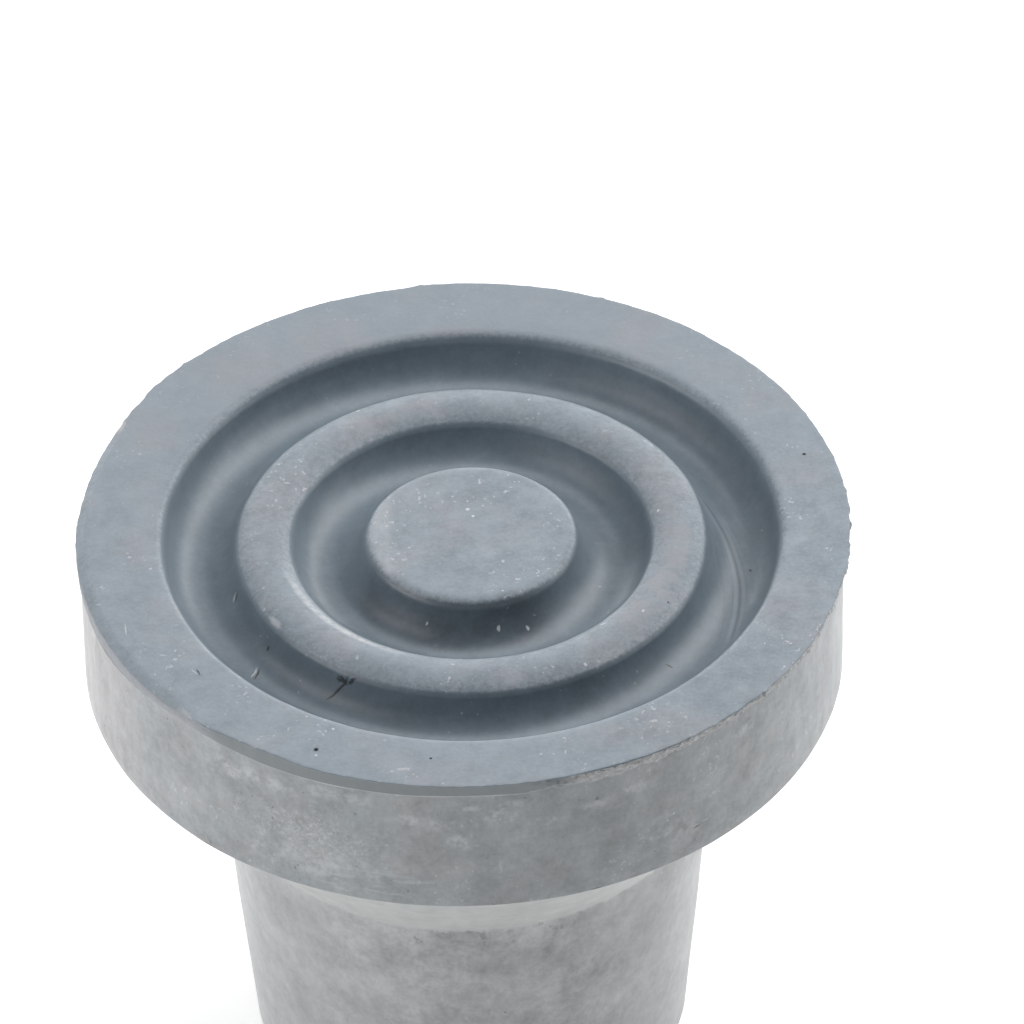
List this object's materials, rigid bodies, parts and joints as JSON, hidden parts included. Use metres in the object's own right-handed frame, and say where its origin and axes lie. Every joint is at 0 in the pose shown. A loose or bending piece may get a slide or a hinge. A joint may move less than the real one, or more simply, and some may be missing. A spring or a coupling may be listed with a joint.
{
  "type": "rubber cane tip",
  "caption": "Grey rubber tip for a cane or walking stick, with a wide round tread face, ring grooves, and a tapered neck with a blind push-on socket.",
  "frame": {"origin": "centre of the socket mouth, where the tip stands", "axes": "+Z along the socket's axis from the mouth to the tread face; +X is the way the tread pattern sits off centre"},
  "size_m": [0.05, 0.05, 0.0402],
  "materials": {
    "rubber": "matt moulded grey rubber with a dusty bloom"
  },
  "bodies": {
    "root": {"cane_tip": "rubber"}
  },
  "joints": []
}
